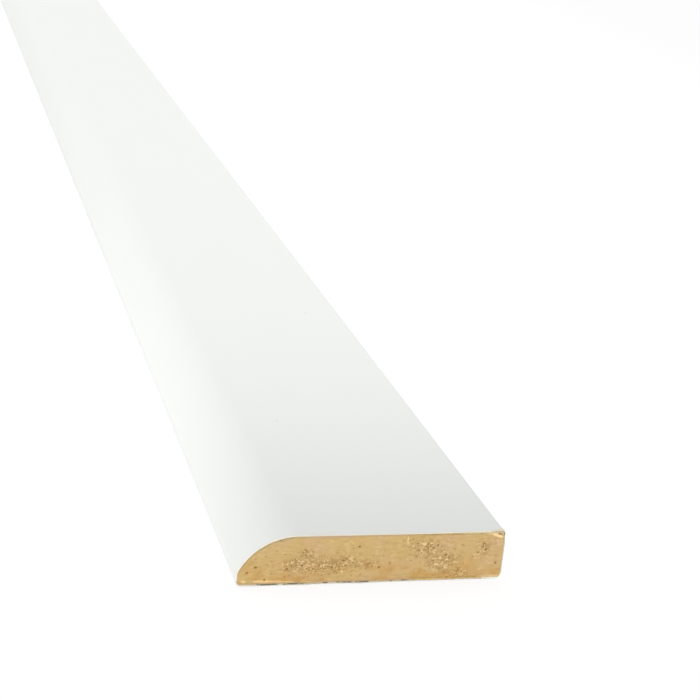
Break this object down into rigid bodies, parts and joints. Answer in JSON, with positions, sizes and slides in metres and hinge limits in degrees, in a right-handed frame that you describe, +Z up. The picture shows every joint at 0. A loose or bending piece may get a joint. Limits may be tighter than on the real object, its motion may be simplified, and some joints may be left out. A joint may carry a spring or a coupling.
{
  "type": "adhesive skirting strip",
  "caption": "Slim white foil-wrapped fibreboard skirting strip with one rounded edge, one square edge, and a self-adhesive band along its back.",
  "frame": {"origin": "under the middle of the strip, on the plane that the liner on its back rests on", "axes": "+X along the strip's length, towards the cut end that the picture shows; +Y across it, from the rounded edge to the square floor edge; +Z up through its thickness, from back to face"},
  "size_m": [2.4, 0.026, 0.0051],
  "materials": {
    "fibreboard": "raw medium-density fibreboard, sawn at the ends and planed on the back",
    "foil": "smooth white decor foil, satin",
    "tape": "double-sided adhesive tape, translucent off-white",
    "liner": "coated release paper, off-white, satin"
  },
  "bodies": {
    "root": {"fibreboard_core": "fibreboard", "white_foil": "foil", "adhesive_tape": "tape", "release_liner": "liner"}
  },
  "joints": []
}
